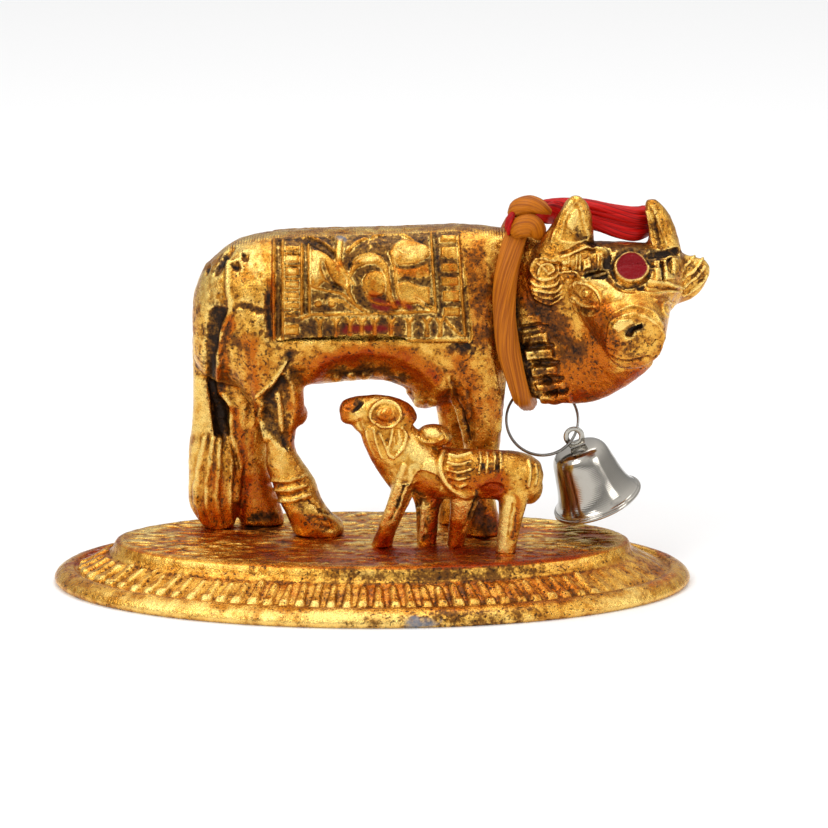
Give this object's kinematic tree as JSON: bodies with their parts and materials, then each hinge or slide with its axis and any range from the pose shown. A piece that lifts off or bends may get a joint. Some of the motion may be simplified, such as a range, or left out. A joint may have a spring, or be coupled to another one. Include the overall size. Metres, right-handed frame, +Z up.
{
  "type": "cow and calf figurine",
  "caption": "Gold-finished temple figure of a decorated cow with her suckling calf on an oval lotus base, with a thread, ring and bell at the neck.",
  "frame": {"origin": "middle of the oval base's underside", "axes": "+X along the base towards the cow's head, +Y away from the viewer and the calf, +Z up"},
  "size_m": [0.1303, 0.0644, 0.0788],
  "materials": {
    "gold_casting": "cast metal, gold-plated and lacquered, with dark patina in the hollows",
    "yellow_thread": "silky yellow-orange thread hank",
    "red_thread": "silky red thread hank",
    "ring_wire": "nickel-plated spring wire",
    "bell_metal": "polished nickel plate, a little worn"
  },
  "bodies": {
    "root": {"base": "gold_casting", "cow": "gold_casting", "calf": "gold_casting", "neck_thread": "yellow_thread", "horn_thread": "red_thread", "split_ring": "ring_wire", "bell": "bell_metal", "bell_loop": "bell_metal", "clapper": "bell_metal"}
  },
  "joints": []
}
